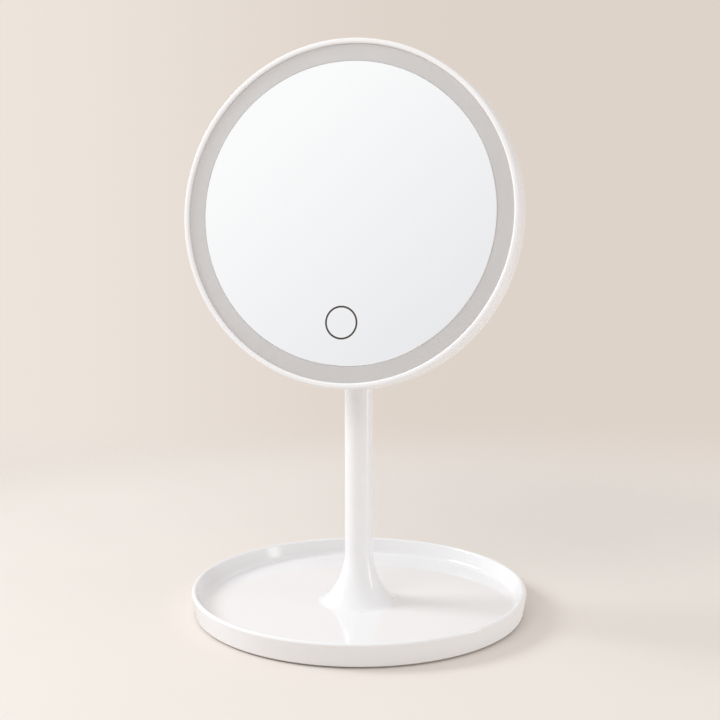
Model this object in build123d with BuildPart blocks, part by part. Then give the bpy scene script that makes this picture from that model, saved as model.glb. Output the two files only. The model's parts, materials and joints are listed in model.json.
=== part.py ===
"""Lighted table mirror: a round lit mirror head on a friction hinge, a stem and a weighted tray base.

Millimetres, +Z up, mirror facing -Y. The origin is the centre of the circle that the foot ring stands on.
"""
import os

from build123d import *

os.makedirs("parts", exist_ok=True)

# Clearances and cuts that all pieces share
slip = 0.05  # radial clearance of a shaft or screw in its hole
gap = 0.3  # room between pieces that lie side by side

# Tray base
tray_diameter = 202.0  # widest, just below the rim
wall_draft = 2.0  # how far the outer wall leans in, from rim to lower edge
rim_height = 14.9
rim_thickness = 3.2
floor_height = 5.4
floor_thickness = 1.9
floor_corner_radius = 4.0
inner_wall_lean = 3.0  # how far the inner wall leans in, from rim to floor
base_lift = 1.0  # lower edge of the tray above the table
bottom_edge_radius = 1.2
skirt_thickness = 2.6
cavity_rise = 1.8  # hollow behind the tray wall, above the floor's underside
cavity_width = 7.0

# Flare between tray floor and stem
flare_top = 38.5
flare_foot_diameter = 51.0
flare_floor_pull_share = 0.42  # how far the curve hugs the floor, of the flare's width
flare_stem_pull_share = 0.54  # how far the curve hugs the stem, of the flare's height

# Stem
stem_diameter = 17.0
core_diameter = 12.0
core_wall = 2.0
socket_web_top = 11.0  # where the core tube seats in the flare
socket_web = 3.4
insert_length = 16.0
stem_bolt_diameter = 6.0
stem_bolt_reach = 12.0  # thread inside the insert
stem_bolt_head_diameter = 10.5
stem_bolt_head_height = 3.3
stem_bolt_key = 4.0  # hexagon socket, across flats
stem_bolt_key_depth = 2.0
stem_washer_diameter = 18.0
stem_washer_thickness = 1.6
bolt_pocket_diameter = 21.0

# Weight plate and foot ring
weight_room = 6.4  # weight's edge inside the tray's skirt
weight_hole_room = 0.5  # weight's hole round the bolt's pocket
weight_screw_land = 4.5  # screw's centre beside the weight's hole
weight_screw_count = 3
weight_screw_diameter = 2.6
weight_screw_head_diameter = 5.0
weight_screw_length = 5.2
foot_ring_inset = 2.0  # ring's edge inside the weight's edge
foot_ring_width = 12.0
foot_ring_height = 2.0

# Hinge between stem and head
pivot_height = 174.8
head_tilt = 9.5  # backward lean of the mirror at rest, degrees
hinge_drop_share = 0.615  # pivot below the mirror's centre, of the head's radius
hinge_standoff = 14.5  # pivot behind the head's back
hinge_bolt_diameter = 6.0
hinge_head_diameter = 10.0
hinge_head_height = 2.2
hinge_key = 3.0  # hexagon socket, across flats
hinge_key_depth = 1.2
hinge_nut_flats = 9.0
hinge_nut_height = 2.0
hinge_sink = 1.5  # bolt head and spring washer let into the ears
tongue_thickness = 8.0
friction_washer_thickness = 0.5
friction_washer_diameter = 14.0
spring_washer_thickness = 0.8
spring_washer_rise = 0.4
spring_washer_diameter = 11.0
ear_thickness = 4.0
ear_diameter = 17.0
shoulder_room = 2.5  # stem shoulder below the ears' lower end
knuckle_neck = 8.0  # round part of the knuckle below its shoulder
spigot_length = 22.0
lock_screw_diameter = 3.0
lock_screw_bite = 1.5  # into the spigot
lock_screw_drop = 12.0  # below the upper end of the core tube
lock_screw_key = 1.5
bracket_width = 36.0
bracket_height = 24.0
bracket_thickness = 3.0
bracket_corner_radius = 6.0
bracket_edge_radius = 1.0
bracket_screw_span = 25.0
bracket_screw_rise = 13.0
bracket_screw_diameter = 3.0
bracket_screw_bite = 2.2  # into the bracket
bracket_screw_head_diameter = 5.4
bracket_screw_head_height = 2.0
cap_diameter = 15.0
cap_wall = 1.2
cap_top = 1.6
cap_edge_radius = 1.4

# Head casing
head_diameter = 200.0
head_thickness = 21.4  # bezel crest to flat back
shell_wall = 2.2
rear_edge_radius = 8.0
bezel_lip_width = 3.9
bezel_rise = 1.6  # crest above the diffuser's face
bezel_inner_round = 1.35
bezel_outer_round = 0.8
bezel_taper = 1.0  # outer wall leans in from the seam to the crest
bezel_wall = 1.5
bezel_depth = 5.5  # crest to the parting seam
front_ring_thickness = 2.0  # ring of the rear shell inside the bezel
front_ring_root = 2.2
catch_count = 8
catch_arc = 5.0  # degrees
catch_room_arc = 0.6  # degrees that a catch's pocket is wider
catch_height = 0.35
catch_depth = 0.7

# Light ring and mirror
light_ring_width = 9.3
diffuser_thickness = 2.0
diffuser_edge_radius = 0.2
mirror_rise = 0.25  # mirror face in front of the diffuser's face
mirror_thickness = 3.0
mirror_bevel = 0.3
touch_drop_share = 0.7156  # touch mark below the mirror's centre, of the mirror's radius
touch_mark_diameter = 19.2
touch_mark_line = 1.05
touch_mark_depth = 0.2
tape_thickness = 0.8
tape_edge = 3.0  # tape's edge inside the glass edge

# Mirror carrier, LED board and touch board
carrier_thickness = 2.0
carrier_wall = 2.4
carrier_lip = 1.2
carrier_flange = 1.6
led_throw = 6.2  # LED board behind the diffuser
led_board_thickness = 1.2
led_count = 48
led_length = 3.5
led_width = 2.8
led_height = 0.8
touch_board_diameter = 19.6
touch_board_thickness = 1.2
touch_opening_room = 1.2
carrier_screw_count = 6
carrier_screw_inset = 6.4  # screw's centre inside the carrier's wall
carrier_screw_diameter = 2.6
carrier_screw_head_diameter = 5.0
carrier_screw_length = 9.0
boss_wall = 2.2

# Main board and what is on it
board_width = 60.0
board_height = 30.0
board_thickness = 1.6
board_corner_radius = 1.5
board_drop_share = 0.25  # board's centre below the mirror's centre, of the head's radius
board_standoff = 5.2
standoff_wall = 1.4
board_edge = 3.6  # screw centre inside the board's edges
board_screw_diameter = 2.0
board_screw_length = 6.0
board_screw_head_diameter = 3.8
board_screw_head_height = 1.4
connector_width = 9.0
connector_length = 6.0
connector_height = 3.6
battery_connector_share = -0.3  # beside the board's middle, of its width
chip_width_shares = (0.13, 0.1, 0.11, 0.06)  # of the board's width
chip_length_shares = (0.24, 0.2, 0.22, 0.16)  # of the board's height
chip_height_shares = (0.33, 0.3, 0.85, 0.55)  # of the connectors' height
chip_across_shares = (-0.3, -0.06, 0.3, 0.12)  # of the board's width
chip_down_shares = (0.08, -0.16, -0.12, 0.1)  # of the board's height

# Charging socket and charge light
usb_width = 9.0
usb_height = 3.3
usb_length = 6.6
usb_wall = 0.35
usb_base = 1.0
usb_tongue_thickness = 0.7
usb_tongue_room = 1.0  # tongue inside the shell's ends
usb_tongue_set_back = 0.8
usb_offset = 5.0  # socket below the board's centre
usb_room = 0.3
light_pipe_diameter = 2.6
light_pipe_flange = 1.0
light_pipe_shift = 14.0  # beside the socket

# Battery and leads
battery_width = 62.0
battery_length = 46.0
battery_thickness = 7.0
battery_edge_radius = 2.0
battery_board_gap = 7.0  # battery's lower edge above the board
battery_tape_thickness = 0.5
battery_tape_edge = 4.0
lead_diameter = 1.3
lead_spacing = 2.4
lead_bend = 2.2
lead_hole_room = 0.6
touch_lead_rise = 5.0  # where the touch leads leave their board, above its centre

# Depths behind the mirror's face
diffuser_front = mirror_rise
diffuser_back = diffuser_front + diffuser_thickness
crest = diffuser_front - bezel_rise
seam = crest + bezel_depth
back = crest + head_thickness
back_inside = back - shell_wall
carrier_front = mirror_thickness + tape_thickness
carrier_back = carrier_front + carrier_thickness
led_board_front = diffuser_back + led_throw
flange_front = led_board_front + led_board_thickness
flange_back = flange_front + carrier_flange
board_back = back_inside - board_standoff
board_front = board_back - board_thickness
battery_back = back_inside - battery_tape_thickness
battery_front = battery_back - battery_thickness
rear_lead_depth = board_back + connector_height / 2
front_lead_depth = board_front - connector_height / 2
pivot_depth = back + hinge_standoff

# Radii of the head's rings
head_radius = head_diameter / 2
shell_radius = head_radius - shell_wall
lip_radius = head_radius - bezel_lip_width
bezel_bore = head_radius - bezel_wall
diffuser_radius = bezel_bore - gap
front_ring_bore = diffuser_radius - front_ring_thickness
diffuser_bore = lip_radius - light_ring_width
mirror_radius = diffuser_bore - gap
carrier_wall_radius = diffuser_bore + carrier_lip
led_board_bore = carrier_wall_radius + gap
led_board_radius = front_ring_bore - 2 * gap
led_circle = (led_board_bore + led_board_radius) / 2
carrier_wall_bore = carrier_wall_radius - carrier_lip - carrier_wall
carrier_screw_circle = carrier_wall_bore - carrier_screw_inset
touch_opening = touch_board_diameter / 2 + touch_opening_room
lead_radius = lead_diameter / 2

# Places below the mirror's centre
hinge_drop = hinge_drop_share * head_radius
touch_drop = touch_drop_share * mirror_radius
board_drop = board_drop_share * head_radius
board_top = board_drop - board_height / 2
board_bottom = board_drop + board_height / 2
usb_drop = board_drop + usb_offset
battery_foot = board_top - battery_board_gap
battery_drop = battery_foot - battery_length / 2
led_lead_end = (led_circle**2 - board_drop**2) ** 0.5

# Levels and radii of the stand
tray_radius = tray_diameter / 2
tray_bottom_radius = tray_radius - wall_draft
rim_inside = tray_radius - rim_thickness
skirt_inside = tray_bottom_radius - skirt_thickness
weight_radius = skirt_inside - weight_room
weight_hole = bolt_pocket_diameter / 2 + weight_hole_room
weight_screw_circle = weight_hole + weight_screw_land
foot_ring_radius = weight_radius - foot_ring_inset
stem_radius = stem_diameter / 2
core_radius = core_diameter / 2
core_bore = core_radius - core_wall
floor_underside = floor_height - floor_thickness
socket_web_bottom = socket_web_top - socket_web
stem_bolt_seat = socket_web_bottom - stem_washer_thickness
shoulder_height = pivot_height - ear_diameter / 2 - shoulder_room
knuckle_height = shoulder_height - knuckle_neck
lock_screw_height = knuckle_height - lock_screw_drop

# Places along the hinge axis, from the middle outwards
ear_inside = tongue_thickness / 2 + friction_washer_thickness
ear_outside = ear_inside + ear_thickness
sink_floor = ear_outside - hinge_sink
nut_inside = sink_floor + spring_washer_thickness + spring_washer_rise
nut_outside = nut_inside + hinge_nut_height
hinge_bolt_radius = hinge_bolt_diameter / 2

# Head frame: x to the right, y down the mirror, z into the depth behind its face
pivot = Vector(0, 0, pivot_height)
depth_way = Vector(0, 1, 0).rotate(Axis.X, -head_tilt)
down_way = Vector(0, 0, -1).rotate(Axis.X, -head_tilt)
head = Plane(pivot - down_way * hinge_drop - depth_way * pivot_depth, x_dir=(1, 0, 0), z_dir=depth_way)
head_axis = Axis(head.origin, head.z_dir)
head_section = Plane(head.origin, x_dir=head.x_dir, z_dir=-head.y_dir)  # radius and depth
hinge_side = Plane(pivot, x_dir=head.z_dir, z_dir=head.x_dir)  # seen along the hinge axis
hinge_section = Plane(pivot, x_dir=head.x_dir, z_dir=head.z_dir)  # place on the axis and radius
hinge_axis = Axis(pivot, head.x_dir)


def head_at(across, down, depth):
    """A plane across the head, with its origin at a place in the head frame."""
    return Plane(head.from_local_coords((across, down, depth)), x_dir=head.x_dir, z_dir=head.z_dir)


def screw_blank(diameter, length, screw_head_diameter, screw_head_height, sunk=False):
    """A cross-recessed screw along +Z, its head starting at the origin."""
    shank, rim = diameter / 2, screw_head_diameter / 2
    outline = [(0, 0), (rim, 0)]
    if not sunk:
        outline.append((rim, screw_head_height))
    outline += [(shank, screw_head_height), (shank, length - shank), (shank / 2, length), (0, length)]
    with BuildPart() as blank:
        with BuildSketch(Plane.XZ):
            with BuildLine():
                Polyline(*outline, close=True)
            make_face()
        revolve(axis=Axis.Z)
        with BuildSketch():
            Rectangle(rim, shank / 2)
            Rectangle(shank / 2, rim)
        extrude(amount=screw_head_height / 2, mode=Mode.SUBTRACT)
    return blank.part


def catch_blank(outer_radius, depth, arc):
    """One snap catch of the head's casing, an arc round +Z."""
    inner_radius = diffuser_radius - front_ring_thickness / 2
    with BuildPart() as blank:
        with BuildSketch(Plane.XZ):
            with Locations(((inner_radius + outer_radius) / 2, (diffuser_back + seam) / 2)):
                Rectangle(outer_radius - inner_radius, depth)
        revolve(axis=Axis.Z, revolution_arc=arc)
    return blank.part


def save(part, name):
    """Labels a finished piece and writes its file."""
    part.label = name
    export_step(part, f"parts/{name}.step")


# Tray with its flare, one moulding
rim_round = rim_thickness / 2
rim_middle = rim_height - rim_round
flare_foot = flare_foot_diameter / 2
flare_floor_pull = flare_floor_pull_share * (flare_foot - stem_radius)
flare_stem_pull = flare_stem_pull_share * (flare_top - floor_height)
weight_screw_top = foot_ring_height + weight_screw_length
with BuildPart() as tray:
    with BuildSketch(Plane.XZ):
        with BuildLine():
            FilletPolyline(
                (skirt_inside, base_lift), (tray_bottom_radius, base_lift), (tray_radius, rim_middle),
                radius=bottom_edge_radius,
            )
            ThreePointArc(
                (tray_radius, rim_middle), (tray_radius - rim_round, rim_height), (rim_inside, rim_middle)
            )
            FilletPolyline(
                (rim_inside, rim_middle), (rim_inside - inner_wall_lean, floor_height),
                (flare_foot, floor_height), radius=floor_corner_radius,
            )
            Bezier(
                (flare_foot, floor_height), (flare_foot - flare_floor_pull, floor_height),
                (stem_radius, flare_top - flare_stem_pull), (stem_radius, flare_top),
            )
            Polyline(
                (stem_radius, flare_top),
                (core_radius + slip, flare_top), (core_radius + slip, socket_web_top),
                (stem_bolt_diameter / 2 + slip, socket_web_top),
                (stem_bolt_diameter / 2 + slip, socket_web_bottom),
                (bolt_pocket_diameter / 2, socket_web_bottom), (bolt_pocket_diameter / 2, floor_underside),
                (skirt_inside - cavity_width, floor_underside),
                (skirt_inside, floor_underside + cavity_rise), (skirt_inside, base_lift),
            )
        make_face()
    revolve(axis=Axis.Z)
    with BuildSketch(Plane.XY.offset(floor_underside)):
        with PolarLocations(weight_screw_circle, weight_screw_count):
            Circle(weight_screw_diameter / 2 + slip)
    extrude(amount=weight_screw_top + gap - floor_underside, mode=Mode.SUBTRACT)
save(tray.part, "tray")

# Steel weight plate under the tray floor
weight_thickness = floor_underside - foot_ring_height
weight_screw_head_height = (weight_screw_head_diameter - weight_screw_diameter) / 2
with BuildPart() as base_weight:
    with BuildSketch(Plane.XY.offset(foot_ring_height)):
        Circle(weight_radius)
        Circle(weight_hole, mode=Mode.SUBTRACT)
        with PolarLocations(weight_screw_circle, weight_screw_count):
            Circle(weight_screw_diameter / 2 + slip, mode=Mode.SUBTRACT)
    extrude(amount=weight_thickness)
    with BuildSketch(Plane.XY.offset(foot_ring_height)):
        with PolarLocations(weight_screw_circle, weight_screw_count):
            Circle(weight_screw_head_diameter / 2 + slip)
    extrude(amount=weight_screw_head_height, taper=45, mode=Mode.SUBTRACT)
save(base_weight.part, "base_weight")

# Screws that hold the weight
weight_screw = screw_blank(
    weight_screw_diameter, weight_screw_length, weight_screw_head_diameter, weight_screw_head_height,
    sunk=True,
)
with BuildPart(Plane.XY.offset(foot_ring_height)) as weight_screws:
    with PolarLocations(weight_screw_circle, weight_screw_count):
        add(weight_screw)
save(weight_screws.part, "weight_screws")

# Rubber foot ring
with BuildPart() as foot_ring:
    with BuildSketch():
        Circle(foot_ring_radius)
        Circle(foot_ring_radius - foot_ring_width, mode=Mode.SUBTRACT)
    extrude(amount=foot_ring_height)
save(foot_ring.part, "foot_ring")

# Washer under the flare's web
with BuildPart() as stem_washer:
    with BuildSketch(Plane.XY.offset(stem_bolt_seat)):
        Circle(stem_washer_diameter / 2)
        Circle(stem_bolt_diameter / 2 + slip, mode=Mode.SUBTRACT)
    extrude(amount=stem_washer_thickness)
save(stem_washer.part, "stem_washer")

# Bolt that pulls the stem down into the flare
stem_bolt_bottom = stem_bolt_seat - stem_bolt_head_height
with BuildPart() as stem_bolt:
    with BuildSketch(Plane.XY.offset(stem_bolt_bottom)):
        Circle(stem_bolt_head_diameter / 2)
    extrude(amount=stem_bolt_head_height)
    with BuildSketch(Plane.XY.offset(stem_bolt_seat)):
        Circle(stem_bolt_diameter / 2)
    extrude(amount=socket_web_top + stem_bolt_reach - stem_bolt_seat)
    with BuildSketch(Plane.XY.offset(stem_bolt_bottom)):
        RegularPolygon(stem_bolt_key / 2, 6, major_radius=False)
    extrude(amount=stem_bolt_key_depth, mode=Mode.SUBTRACT)
save(stem_bolt.part, "stem_bolt")

# Threaded insert in the lower end of the core tube
with BuildPart() as stem_insert:
    with BuildSketch(Plane.XY.offset(socket_web_top)):
        Circle(core_bore - slip)
        Circle(stem_bolt_diameter / 2 + slip, mode=Mode.SUBTRACT)
    extrude(amount=insert_length)
save(stem_insert.part, "stem_insert")

# Steel core tube
with BuildPart() as stem_core:
    with BuildSketch(Plane.XY.offset(socket_web_top)):
        Circle(core_radius)
        Circle(core_bore, mode=Mode.SUBTRACT)
    extrude(amount=knuckle_height - socket_web_top)
    with BuildSketch(Plane.XZ):
        with Locations((0, lock_screw_height)):
            Circle(lock_screw_diameter / 2 + slip)
    extrude(amount=-core_diameter, mode=Mode.SUBTRACT)
save(stem_core.part, "stem_core")

# Moulded sleeve round the core
with BuildPart() as stem_sleeve:
    with BuildSketch(Plane.XY.offset(flare_top)):
        Circle(stem_radius)
        Circle(core_radius + slip, mode=Mode.SUBTRACT)
    extrude(amount=knuckle_height - flare_top)
save(stem_sleeve.part, "stem_sleeve")

# Knuckle on top of the stem, with the tongue that the ears hold
lock_screw_tip = core_bore - lock_screw_bite
lock_screw_end = core_radius - gap
with BuildPart() as stem_knuckle:
    with BuildSketch(Plane.XY.offset(knuckle_height)):
        Circle(stem_radius)
    extrude(amount=pivot_height + stem_radius - knuckle_height)
    with BuildSketch(Plane.YZ):
        with Locations((0, pivot_height)):
            Circle(stem_radius)
        with Locations((0, (knuckle_height + pivot_height) / 2)):
            Rectangle(stem_diameter, pivot_height - knuckle_height)
    extrude(amount=stem_radius, both=True, mode=Mode.INTERSECT)
    with BuildSketch(Plane.XY.offset(shoulder_height)):
        Rectangle(stem_diameter, stem_diameter)
        Rectangle(tongue_thickness - 2 * slip, stem_diameter, mode=Mode.SUBTRACT)
    extrude(amount=stem_diameter + ear_diameter, mode=Mode.SUBTRACT)
    with BuildSketch(Plane.YZ):
        with Locations((0, pivot_height)):
            Circle(hinge_bolt_radius + slip)
    extrude(amount=tongue_thickness, both=True, mode=Mode.SUBTRACT)
    with BuildSketch(Plane.XY.offset(knuckle_height - spigot_length)):
        Circle(core_bore - slip)
    extrude(amount=spigot_length)
    with BuildSketch(Plane.XZ.offset(-lock_screw_tip)):
        with Locations((0, lock_screw_height)):
            Circle(lock_screw_diameter / 2 + slip)
    extrude(amount=-core_diameter, mode=Mode.SUBTRACT)
save(stem_knuckle.part, "stem_knuckle")

# Locking screw of the knuckle, under the sleeve
with BuildPart() as lock_screw:
    with BuildSketch(Plane.XZ.offset(-lock_screw_tip)):
        with Locations((0, lock_screw_height)):
            Circle(lock_screw_diameter / 2)
    extrude(amount=-(lock_screw_end - lock_screw_tip))
    with BuildSketch(Plane.XZ.offset(-lock_screw_end)):
        with Locations((0, lock_screw_height)):
            RegularPolygon(lock_screw_key / 2, 6, major_radius=False)
    extrude(amount=lock_screw_bite, mode=Mode.SUBTRACT)
save(lock_screw.part, "lock_screw")

# Hinge bracket on the head's back: a pad with two ears
bracket_screw_radius = bracket_screw_diameter / 2
ear_reach = hinge_standoff - bracket_thickness / 2
sink_radius = spring_washer_diameter / 2 + gap
with BuildPart() as hinge_bracket:
    with BuildSketch(head_at(0, hinge_drop, back)):
        RectangleRounded(bracket_width, bracket_height, bracket_corner_radius)
    extrude(amount=bracket_thickness)
    fillet(hinge_bracket.faces().sort_by(head_axis)[-1].edges(), bracket_edge_radius)
    with BuildSketch(head_at(0, hinge_drop, back)):
        with GridLocations(bracket_screw_span, bracket_screw_rise, 2, 2):
            Circle(bracket_screw_radius + slip)
    extrude(amount=bracket_screw_bite + gap, mode=Mode.SUBTRACT)
    with BuildSketch(hinge_side.offset(ear_inside)):
        Circle(ear_diameter / 2)
        with Locations((-ear_reach / 2, 0)):
            Rectangle(ear_reach, ear_diameter)
    extrude(amount=ear_thickness)
    with BuildSketch(hinge_side.offset(ear_inside)):
        Circle(hinge_bolt_radius + slip)
    extrude(amount=ear_thickness, mode=Mode.SUBTRACT)
    with BuildSketch(hinge_side.offset(sink_floor)):
        Circle(sink_radius)
    extrude(amount=hinge_sink, mode=Mode.SUBTRACT)
    mirror(about=Plane.YZ)
save(hinge_bracket.part, "hinge_bracket")

# Screws that hold the bracket, driven from inside the head
bracket_screw = screw_blank(
    bracket_screw_diameter, bracket_screw_head_height + shell_wall + bracket_screw_bite,
    bracket_screw_head_diameter, bracket_screw_head_height,
)
with BuildPart(head_at(0, hinge_drop, back_inside - bracket_screw_head_height)) as bracket_screws:
    with GridLocations(bracket_screw_span, bracket_screw_rise, 2, 2):
        add(bracket_screw)
save(bracket_screws.part, "bracket_screws")

# Hinge bolt
with BuildPart() as hinge_bolt:
    with BuildSketch(hinge_side.offset(-nut_outside)):
        Circle(hinge_bolt_radius)
    extrude(amount=nut_outside + sink_floor)
    with BuildSketch(hinge_side.offset(sink_floor)):
        Circle(hinge_head_diameter / 2)
    extrude(amount=hinge_head_height)
    with BuildSketch(hinge_side.offset(sink_floor + hinge_head_height)):
        RegularPolygon(hinge_key / 2, 6, major_radius=False)
    extrude(amount=-hinge_key_depth, mode=Mode.SUBTRACT)
save(hinge_bolt.part, "hinge_bolt")

# Hinge nut
with BuildPart() as hinge_nut:
    with BuildSketch(hinge_side.offset(-nut_outside)):
        RegularPolygon(hinge_nut_flats / 2, 6, major_radius=False)
        Circle(hinge_bolt_radius + slip, mode=Mode.SUBTRACT)
    extrude(amount=hinge_nut_height)
save(hinge_nut.part, "hinge_nut")

# Dished spring washer under the nut
with BuildPart() as hinge_spring_washer:
    with BuildSketch(hinge_section):
        with BuildLine():
            Polyline(
                (-sink_floor, spring_washer_diameter / 2),
                (-sink_floor - spring_washer_thickness, spring_washer_diameter / 2),
                (-nut_inside, hinge_bolt_radius + slip),
                (-sink_floor - spring_washer_rise, hinge_bolt_radius + slip),
                close=True,
            )
        make_face()
    revolve(axis=hinge_axis)
save(hinge_spring_washer.part, "hinge_spring_washer")

# Friction washers, one on each side of the tongue
with BuildPart() as friction_washers:
    with BuildSketch(hinge_side.offset(tongue_thickness / 2)):
        Circle(friction_washer_diameter / 2)
        Circle(hinge_bolt_radius + slip, mode=Mode.SUBTRACT)
    extrude(amount=friction_washer_thickness)
    mirror(about=Plane.YZ)
save(friction_washers.part, "friction_washers")

# Caps over the ends of the hinge bolt
cap_hollow = nut_outside - ear_outside + gap
with BuildPart() as hinge_caps:
    with BuildSketch(hinge_side.offset(ear_outside)):
        Circle(cap_diameter / 2)
    extrude(amount=cap_hollow + cap_top)
    fillet(hinge_caps.faces().sort_by(Axis.X)[-1].edges(), cap_edge_radius)
    with BuildSketch(hinge_side.offset(ear_outside)):
        Circle(cap_diameter / 2 - cap_wall)
    extrude(amount=cap_hollow, mode=Mode.SUBTRACT)
    mirror(about=Plane.YZ)
save(hinge_caps.part, "hinge_caps")

# Rear shell of the head
catch_radius = bezel_bore + catch_height
boss_radius = carrier_screw_diameter / 2 + boss_wall
standoff_radius = board_screw_diameter / 2 + standoff_wall
board_screw_span = board_width - 2 * board_edge
board_screw_rise = board_height - 2 * board_edge
light_pipe_radius = light_pipe_diameter / 2
shell_catch = catch_blank(catch_radius, catch_depth, catch_arc)
with BuildPart(head) as rear_shell:
    with BuildSketch(head_section):
        with BuildLine():
            FilletPolyline((head_radius, seam), (head_radius, back), (0, back), radius=rear_edge_radius)
            Line((0, back), (0, back_inside))
            FilletPolyline(
                (0, back_inside), (shell_radius, back_inside), (shell_radius, seam + front_ring_root),
                radius=rear_edge_radius - shell_wall,
            )
            Polyline(
                (shell_radius, seam + front_ring_root), (front_ring_bore, seam + front_ring_root),
                (front_ring_bore, diffuser_back), (diffuser_radius, diffuser_back),
                (diffuser_radius, seam), (head_radius, seam),
            )
        make_face()
    revolve(axis=head_axis)
    with PolarLocations(0, catch_count):
        add(shell_catch)
    with BuildSketch(head.offset(carrier_back)):
        with PolarLocations(carrier_screw_circle, carrier_screw_count):
            Circle(boss_radius)
    extrude(amount=back_inside - carrier_back)
    with BuildSketch(head_at(0, board_drop, board_back)):
        with GridLocations(board_screw_span, board_screw_rise, 2, 2):
            Circle(standoff_radius)
    extrude(amount=board_standoff)
    with BuildSketch(head.offset(carrier_back)):
        with PolarLocations(carrier_screw_circle, carrier_screw_count):
            Circle(carrier_screw_diameter / 2 + slip)
    extrude(amount=carrier_screw_length - carrier_thickness + gap, mode=Mode.SUBTRACT)
    with BuildSketch(head_at(0, board_drop, board_back)):
        with GridLocations(board_screw_span, board_screw_rise, 2, 2):
            Circle(board_screw_diameter / 2 + slip)
    extrude(amount=board_standoff, mode=Mode.SUBTRACT)
    with BuildSketch(head_at(0, 0, back_inside)):
        with Locations((0, usb_drop)):
            SlotOverall(usb_width + 2 * usb_room, usb_height + 2 * usb_room)
        with Locations((light_pipe_shift, usb_drop)):
            Circle(light_pipe_radius + slip)
        with Locations((0, hinge_drop)):
            with GridLocations(bracket_screw_span, bracket_screw_rise, 2, 2):
                Circle(bracket_screw_radius + slip)
    extrude(amount=shell_wall, mode=Mode.SUBTRACT)
save(rear_shell.part, "rear_shell")

# Front bezel, snapped on the rear shell's front ring
bezel_pocket = catch_blank(catch_radius + slip, catch_depth + 2 * slip, catch_arc + catch_room_arc)
with BuildPart(head) as front_bezel:
    with BuildSketch(head_section):
        with BuildLine():
            FilletPolyline(
                (lip_radius, diffuser_front), (lip_radius, crest), (head_radius - bezel_taper, crest),
                (head_radius, seam),
                radius=[bezel_inner_round, bezel_outer_round],
            )
            Polyline(
                (head_radius, seam), (bezel_bore, seam), (bezel_bore, diffuser_front),
                (lip_radius, diffuser_front),
            )
        make_face()
    revolve(axis=head_axis)
    with PolarLocations(0, catch_count, start_angle=-catch_room_arc / 2):
        add(bezel_pocket, mode=Mode.SUBTRACT)
save(front_bezel.part, "front_bezel")

# Diffuser ring
with BuildPart() as diffuser_ring:
    with BuildSketch(head.offset(diffuser_front)):
        Circle(diffuser_radius)
        Circle(diffuser_bore, mode=Mode.SUBTRACT)
    extrude(amount=diffuser_thickness)
    front_edges = diffuser_ring.faces().sort_by(head_axis)[0].edges()
    fillet(front_edges.sort_by(SortBy.RADIUS)[0], diffuser_edge_radius)
save(diffuser_ring.part, "diffuser_ring")

# Mirror glass with a polished edge and a groove for the touch mark
touch_mark_radius = touch_mark_diameter / 2
with BuildPart() as mirror_glass:
    with BuildSketch(head):
        Circle(mirror_radius)
    extrude(amount=mirror_thickness)
    chamfer(mirror_glass.faces().sort_by(head_axis)[0].edges(), mirror_bevel)
    with BuildSketch(head_at(0, touch_drop, 0)):
        Circle(touch_mark_radius)
        Circle(touch_mark_radius - touch_mark_line, mode=Mode.SUBTRACT)
    extrude(amount=touch_mark_depth, mode=Mode.SUBTRACT)
save(mirror_glass.part, "mirror_glass")

# Touch mark, flush with the glass
with BuildPart() as touch_mark:
    with BuildSketch(head_at(0, touch_drop, 0)):
        Circle(touch_mark_radius)
        Circle(touch_mark_radius - touch_mark_line, mode=Mode.SUBTRACT)
    extrude(amount=touch_mark_depth)
save(touch_mark.part, "touch_mark")

# Tape between glass and carrier
with BuildPart() as mirror_tape:
    with BuildSketch(head.offset(mirror_thickness)):
        Circle(mirror_radius - tape_edge)
        with Locations((0, touch_drop)):
            Circle(touch_opening, mode=Mode.SUBTRACT)
    extrude(amount=tape_thickness)
save(mirror_tape.part, "mirror_tape")

# Mirror carrier: plate, wall of the light trough and flange for the LED board
carrier_screw_head_height = (carrier_screw_head_diameter - carrier_screw_diameter) / 2
with BuildPart() as mirror_carrier:
    with BuildSketch(head_section):
        with BuildLine():
            Polyline(
                (0, carrier_front), (diffuser_bore, carrier_front), (diffuser_bore, diffuser_back),
                (carrier_wall_radius, diffuser_back), (carrier_wall_radius, flange_front),
                (led_board_radius, flange_front), (led_board_radius, flange_back),
                (carrier_wall_bore, flange_back), (carrier_wall_bore, carrier_back), (0, carrier_back),
                close=True,
            )
        make_face()
    revolve(axis=head_axis)
    with BuildSketch(head.offset(carrier_front)):
        with Locations((0, touch_drop)):
            Circle(touch_opening)
        with PolarLocations(carrier_screw_circle, carrier_screw_count):
            Circle(carrier_screw_diameter / 2 + slip)
    extrude(amount=carrier_thickness, mode=Mode.SUBTRACT)
    with BuildSketch(head.offset(carrier_front)):
        with PolarLocations(carrier_screw_circle, carrier_screw_count):
            Circle(carrier_screw_head_diameter / 2 + slip)
    extrude(amount=carrier_screw_head_height, taper=45, mode=Mode.SUBTRACT)
    with BuildSketch(head_at(led_lead_end, board_drop, flange_front)):
        SlotOverall(
            lead_spacing + lead_diameter + 2 * lead_hole_room, lead_diameter + 2 * lead_hole_room, rotation=90
        )
    extrude(amount=carrier_flange, mode=Mode.SUBTRACT)
save(mirror_carrier.part, "mirror_carrier")

# Screws that hold the carrier on the shell's bosses
carrier_screw = screw_blank(
    carrier_screw_diameter, carrier_screw_length, carrier_screw_head_diameter, carrier_screw_head_height,
    sunk=True,
)
with BuildPart(head.offset(carrier_front)) as carrier_screws:
    with PolarLocations(carrier_screw_circle, carrier_screw_count):
        add(carrier_screw)
save(carrier_screws.part, "carrier_screws")

# LED board, a ring behind the diffuser
with BuildPart() as led_board:
    with BuildSketch(head.offset(led_board_front)):
        Circle(led_board_radius)
        Circle(led_board_bore, mode=Mode.SUBTRACT)
    extrude(amount=led_board_thickness)
save(led_board.part, "led_board")

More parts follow.
